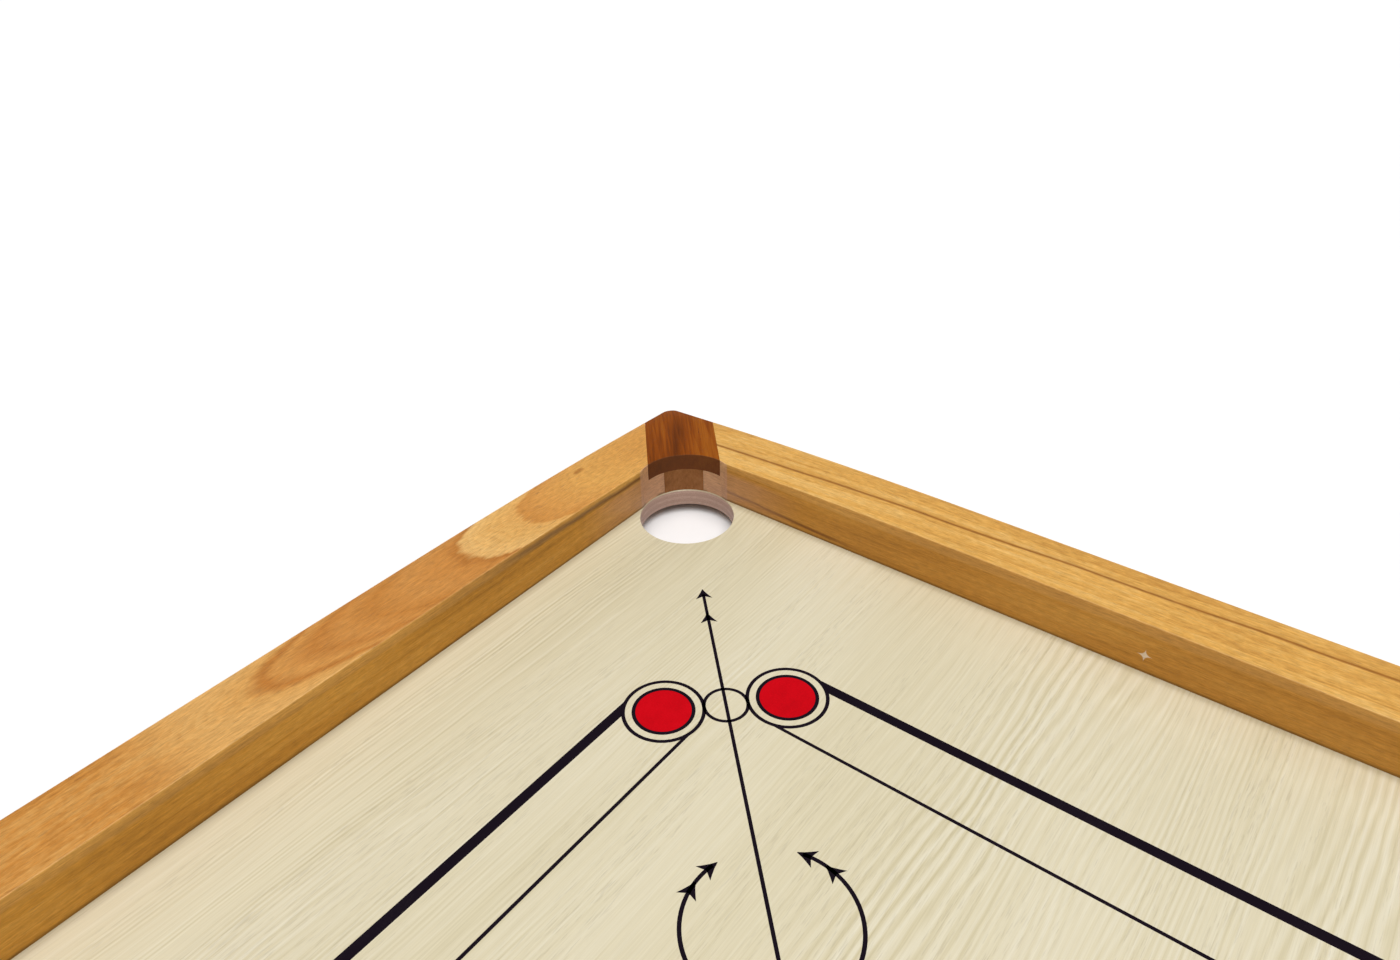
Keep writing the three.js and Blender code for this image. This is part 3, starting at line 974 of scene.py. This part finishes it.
def north_figure(paint, colour, out, along, place):
    """Flame figure: growth layers cut at a slant into tongues, and a small knot."""
    wobble = paint.sway(place, (7, 16, 7), 81, 3, 0.6)
    drift = paint.sway(place, (30, 45, 30), 82, 1)
    ragged = paint.sway(place, (1.6, 5, 1.6), 84, 3, 0.7)
    aside = paint.total((paint.minus(out, 17.5), 1), (drift, 5))
    distance = paint.size(aside)
    squared = paint.times(distance, distance)
    steepness = paint.plus(paint.times(paint.step(aside, -1, 1), 0.004), 0.0036)
    blunt = paint.times(paint.times(squared, distance), steepness)
    pointed = paint.times(squared, 0.15)
    position = paint.times(along, -1.0)
    tongue = paint.times(paint.minus(blunt, pointed), paint.step(position, 150, 215))
    tongue = paint.plus(pointed, tongue)
    level = paint.total((position, 1), (tongue, -1), (wobble, 13), (ragged, 7))
    place_in_ramp = paint.math("DIVIDE", level, FLAME_SPAN, clamp=True)
    layers = paint.ramp(place_in_ramp, [(x / FLAME_SPAN, c) for x, c in FLAME_LAYERS])
    fine = paint.math("POWER", paint.math("FRACT", paint.math("DIVIDE", level, 5.5)), 2.0)
    layers = paint.blend(layers, HEARTWOOD[1], fine, 0.3)
    colour = paint.blend(colour, layers, paint.step(position, 60, 100), 0.8)
    knot_along = paint.math("DIVIDE", paint.minus(position, KNOT_AT[0]), 3.4)
    knot_out = paint.math("DIVIDE", paint.minus(out, KNOT_AT[1]), 1.6)
    knot = paint.total((paint.times(knot_along, knot_along), 1), (ragged, 2.5))
    knot = paint.plus(knot, paint.times(knot_out, knot_out))
    knot = paint.inverse(paint.step(knot, 0.2, 1.6))
    return paint.blend(colour, HEARTWOOD[0], knot, 0.7)


def east_figure(paint, colour, out, along, place):
    """One soft dark growth line that drifts outwards along the east rail."""
    from_corner = paint.minus(FIELD_HALF / MM, along)
    line = paint.plus(paint.times(from_corner, 0.033), 12.2)
    line = paint.plus(line, paint.times(paint.sway(place, (20, 60, 20), 83, 1), 3.0))
    beside = paint.minus(out, line)
    colour = paint.blend(colour, SAPWOOD[0], paint.bump_at(beside, 1.2, 3.0), 0.3)
    return paint.blend(colour, GROWTH_LINE, paint.bump_at(beside, 0.0, 1.4), 0.9)


def corner_wood(name, turn, seed, tones, gap, contrast, bore_shade=None):
    """Darker hardwood of a corner's key or inlay, with its grain along the corner line.

    `gap` is between growth rings. The last argument is painted shade, a darker tone laid on the pocket's
    wall.
    """
    paint = Paint(name, 0.34, 0.06)
    place = paint.local(turn - 90 + math.degrees(CORNER_ANGLE))
    late, streak, blotch, fibre, pores = wood_grain(paint, place, seed, (60, -20), gap, 0.05, 8)
    fine = paint.sway(place, (1.1, 40, 2), seed + 15, 3, 0.65)
    tone = paint.total((late, -0.12 * contrast), (streak, 0.8 * contrast), (fine, 0.6), (blotch, 1.1))
    colour = paint.toned(tone, 0.53, tones)
    # Painted shade on the pocket's wall.
    if bore_shade:
        colour = paint.blend(colour, bore_shade, bore_wall(paint)[0], 0.8)
    colour = paint.blend(colour, shaded(tones[0], 0.4), pores, 0.5)
    colour = paint.brighten(colour, (fibre, 0.6))
    paint.bump(0.07, (fibre, 0.5), (pores, -1.0))
    return paint.finish(colour, 0.36, (fibre, 0.3))


def board_material():
    """Pale straight-grained veneer over darker plies, under a satin lacquer."""
    paint = Paint("veneered_board", 0.4, 0.2)
    place = paint.local(-90)
    south, along, up = paint.split(place)
    from_north = paint.plus(south, FIELD_HALF / MM)
    wander = paint.sway(place, (50, 190, 50), 21, 1.5)
    ripple = paint.sway(place, (9, 34, 9), 22, 2)
    position = paint.total((from_north, 1), (wander, 46), (ripple, 7))
    steady = paint.total((from_north, 1), (wander, 22), (ripple, 1.6))
    zone = paint.math("PINGPONG", paint.plus(position, -30), 240.0)
    calm = paint.noise(place, (40, 200, 40), 28, 1)
    waves = paint.math("SINE", paint.times(position, 1.15))
    waves = paint.times(waves, paint.total((paint.bump_at(zone, 184, 40), 0.17), (calm, 0.05)))
    ribs = paint.math("SINE", paint.times(steady, 2.7))
    ribs = paint.times(ribs, paint.total((paint.bump_at(zone, 238, 52), 0.08), (calm, 0.03)))
    groups = paint.step(paint.noise(place, (5, 160, 5), 29, 2), 0.42, 0.62)
    hairs = paint.times(paint.math("SINE", paint.times(steady, 3.1)), groups)
    near_rail = paint.inverse(paint.step(from_north, 60, 150))
    hairs = paint.times(hairs, paint.total((near_rail, 0.09), (calm, 0.1)))
    lines = paint.sway(place, (0.8, 150, 2), 23, 3, 0.75)
    area = paint.sway(place, (40, 200, 40), 25, 2)
    tone = paint.total((waves, 1), (ribs, 1), (hairs, 1), (lines, 0.62), (area, 0.5))
    face = paint.toned(tone, 0.52, BOARD_TONES)
    dashes = paint.step(paint.noise(place, (0.45, 7, 0.5), 26, 1), 0.55, 0.68)
    dashes = paint.times(dashes, paint.step(paint.noise(place, (12, 260, 12), 27, 2), 0.45, 0.58))
    face = paint.blend(face, BOARD_DASH, dashes, 0.22)
    fibre = paint.sway(place, (0.32, 14, 0.6), 24, 2, 0.6)
    face = paint.brighten(face, (fibre, 0.2))
    # Painted shade: the veneer is darkened within 4.5 mm of the rails, a soft contact shadow where the
    # board meets them.
    reach = paint.math("MAXIMUM", paint.size(south), paint.size(along))
    rail_shade = paint.step(reach, FIELD_HALF / MM - 4.5, FIELD_HALF / MM)
    face = paint.blend(face, BOARD_EDGE_SHADE, rail_shade, 0.4)
    below = paint.inverse(paint.step(up, SURFACE_Z / MM - 0.75, SURFACE_Z / MM - 0.7))
    colour = paint.mix(below, face, ply_edges(paint, place, up))
    paint.bump(0.04, (fibre, 0.6), (dashes, -0.6))
    return paint.finish(colour, 0.42, (fibre, 0.3))


def ply_edges(paint, place, up):
    """The plies below the face veneer, in turn along and across the grain, with dark glue seams."""
    layer = paint.math("DIVIDE", paint.minus(up, PLY_BOTTOM_Z / MM), PLY_PITCH)
    parity = paint.math("MODULO", paint.math("FLOOR", layer), 2.0)
    seam = paint.bump_at(paint.math("FRACT", layer), 0.0, 0.09)
    cross = paint.ramp(paint.noise(place, (0.5, 0.5, 0.5), 31, 3, 0.7), PLY_END_GRAIN)
    lengthwise = paint.ramp(paint.noise(place, (0.8, 20, 0.5), 32, 3, 0.7), PLY_LONG_GRAIN)
    plies = paint.mix(parity, lengthwise, cross)
    return paint.blend(plies, PLY_SEAM, seam, 0.3)


def batten_material(name, turn):
    """Plain planed softwood with open growth rings and no lacquer."""
    paint = Paint(name, 0.6, 0.3)
    place = paint.local(turn)
    late, streak, blotch, fibre = wood_grain(paint, place, 40 + turn, (4, -60), 4.2, 0.02, 6)[:4]
    tone = paint.total((late, -0.55), (streak, 0.5), (blotch, 0.4))
    colour = paint.toned(tone, 0.7, BATTEN_TONES)
    paint.bump(0.1, (fibre, 1))
    return paint.finish(paint.brighten(colour, (fibre, 0.5)))


def print_material(name, colour, worn):
    """Screen-printed ink or paint: almost even, with a fine speckle and faint worn patches."""
    paint = Paint(name, 0.42, 0.05)
    place = paint.local(0)
    speckle = paint.noise(place, (0.5, 0.5, 0.5), 51, 2, 0.7)
    tone = paint.total((speckle, 0.5), (paint.noise(place, (14, 9, 9), 52, 3), 0.5))
    result = paint.ramp(tone, [(0.35, shaded(colour, 0.8)), (0.55, colour), (0.75, worn)])
    paint.bump(0.01, (speckle, 1))
    return paint.finish(result, 0.4, (speckle, 0.2))


def screw_material():
    """Zinc-plated steel with dull spots."""
    paint = Paint("plated_steel", 0.3, 0.5)
    paint.shader.inputs["Metallic"].default_value = 1.0
    spots = paint.noise(paint.local(0), (0.9, 0.9, 0.9), 61, 3, 0.7)
    paint.bump(0.02, (spots, 1))
    return paint.finish(paint.ramp(spots, STEEL_TONES), 0.2, (spots, 0.3))


# ---- Building the board ----


def paint_with(obj, material):
    obj.data.materials.clear()
    obj.data.materials.append(material)
    return obj


def build_frame():
    """Rails, inlays and keys, each made once and turned into its four places."""
    ring = whole_frame()
    round_edges(ring, pocket_rim, POCKET_ROUND, 3)
    rail = make_rail(ring)
    key = make_corner_piece(ring, "key", KEY_WIDTH, -REACH, INLAY_BED_Z - GLUE_LINE)
    inlay = make_corner_piece(ring, "inlay", INLAY_WIDTH, INLAY_BED_Z, REACH)
    bpy.data.objects.remove(ring)
    for turn, side in enumerate(SIDES):
        piece = paint_with(turned_copy(rail, f"lacquered_rail_{side}", turn), rail_wood(side, turn))
        add_piece(piece, "rail_wood", f"rail_{side}")
    inlay_look = (100, INLAY_TONES, 5.0, 0.9, INLAY_BORE_SHADE)
    key_look = (140, KEY_TONES, 3.6, 0.7)
    for turn, corner in enumerate(CORNERS):
        for kind, template, (seed, *look) in (("inlay", inlay, inlay_look), ("key", key, key_look)):
            wood = corner_wood(f"{kind}_wood_{corner}", 90 * turn, seed + 7 * turn, *look)
            piece = paint_with(turned_copy(template, f"{kind}_{corner}", turn), wood)
            add_piece(piece, f"{kind}_wood", f"corner_{kind}_{corner}")
    for template in (rail, key, inlay):
        bpy.data.objects.remove(template)


def build_board():
    add_piece(paint_with(make_board(), board_material()), "playing_board", "playing_board")
    long_wood = batten_material("batten_wood_along_x", 90)
    short_wood = batten_material("batten_wood_along_y", 0)
    for node in BATTENS:
        low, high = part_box(node)
        wood = long_wood if high.x - low.x > high.y - low.y else short_wood
        add_piece(paint_with(make_batten(node), wood), "batten_wood", node)


def build_print():
    """The ink and red films on each side, in each corner and in the middle."""
    ink = print_material("printed_ink", INK, WORN_INK)
    red = print_material("red_paint", RED, WORN_RED)
    lines, discs = base_print()
    arrow = corner_print()
    for turn, side in enumerate(SIDES):
        add_piece(paint_with(turned_copy(lines, f"base_lines_{side}", turn), ink), "playing_board")
        add_piece(paint_with(turned_copy(discs, f"base_circles_{side}", turn), red), "playing_board")
    for turn, corner in enumerate(CORNERS):
        add_piece(paint_with(turned_copy(arrow, f"arrow_{corner}", turn), ink), "playing_board")
    for template in (lines, discs, arrow):
        bpy.data.objects.remove(template)
    add_piece(paint_with(centre_print(), ink), "playing_board")
    centre = disc_film("centre_circle", (0, 0), BASE_RING - LINE_WIDTH / 2 + LINE_LAP)
    add_piece(paint_with(centre, red), "playing_board")


def build_screws():
    steel = screw_material()
    for nodes in (RAIL_SCREWS, BATTEN_SCREWS):
        low, high = node_box(nodes[0])[1:]
        template = paint_with(make_screw("screw", high - low), steel)
        for index, node in enumerate(nodes):
            middle, low = node_box(node)[:2]
            screw = turned_copy(template, node.replace("screw", "woodscrew"), 0)
            turn = Matrix.Rotation(index * SCREW_TURN, 4, "Z")
            screw.data.transform(Matrix.Translation((middle.x, middle.y, low)) @ turn)
            add_piece(screw, "screw", node)
        bpy.data.objects.remove(template)


# ---- Floor, light and camera ----


def build_stage():
    floor = box_object("floor", (-FLOOR_HALF, -FLOOR_HALF, -0.02), (FLOOR_HALF, FLOOR_HALF, 0))
    material = Paint("pale_floor", 0.9, 0.1)
    paint_with(floor, material.finish(FLOOR_COLOUR))


def build_light():
    """A soft studio: a sky of grey layers, and one broad lamp from the south-west."""
    scene = bpy.context.scene
    world = bpy.data.worlds.new("studio")
    world.use_nodes = True
    nodes, links = world.node_tree.nodes, world.node_tree.links
    background = nodes["Background"]
    direction = nodes.new("ShaderNodeTexCoord").outputs["Generated"]
    height = nodes.new("ShaderNodeSeparateXYZ")
    links.new(direction, height.inputs[0])
    ramp = nodes.new("ShaderNodeValToRGB")
    fill_ramp(ramp, [(at, (level,) * 3) for at, level in SKY_LAYERS])
    links.new(height.outputs["Z"], ramp.inputs["Fac"])
    links.new(ramp.outputs["Color"], background.inputs["Color"])
    scene.world = world
    lamp = bpy.data.lights.new("softbox", "SUN")
    lamp.energy = SUN_STRENGTH
    lamp.angle = math.radians(SUN_ANGLE)
    softbox = bpy.data.objects.new("softbox", lamp)
    scene.collection.objects.link(softbox)
    softbox.rotation_euler = Vector(SUN_FROM).to_track_quat("Z", "Y").to_euler()


def build_camera():
    """A camera above the board that looks down at its north-east corner."""
    scene = bpy.context.scene
    camera = bpy.data.objects.new("camera", bpy.data.cameras.new("camera"))
    camera.data.sensor_width = SENSOR_WIDTH
    camera.data.lens = SENSOR_WIDTH * FOCAL_PIXELS / IMAGE_WIDTH
    camera.data.clip_start = 0.01
    camera.data.clip_end = 30
    scene.collection.objects.link(camera)
    forward = Vector(CAMERA_FORWARD).normalized()
    up = Vector(CAMERA_UP)
    up = (up - forward * up.dot(forward)).normalized()
    axes = Matrix((forward.cross(up), up, -forward)).transposed()
    camera.matrix_world = Matrix.Translation(CAMERA_AT) @ axes.to_4x4()
    scene.camera = camera


bpy.context.scene.view_settings.view_transform = "Standard"
build_camera()
build_light()
build_stage()
build_frame()
build_board()
build_print()
build_screws()

bpy.context.view_layer.update()
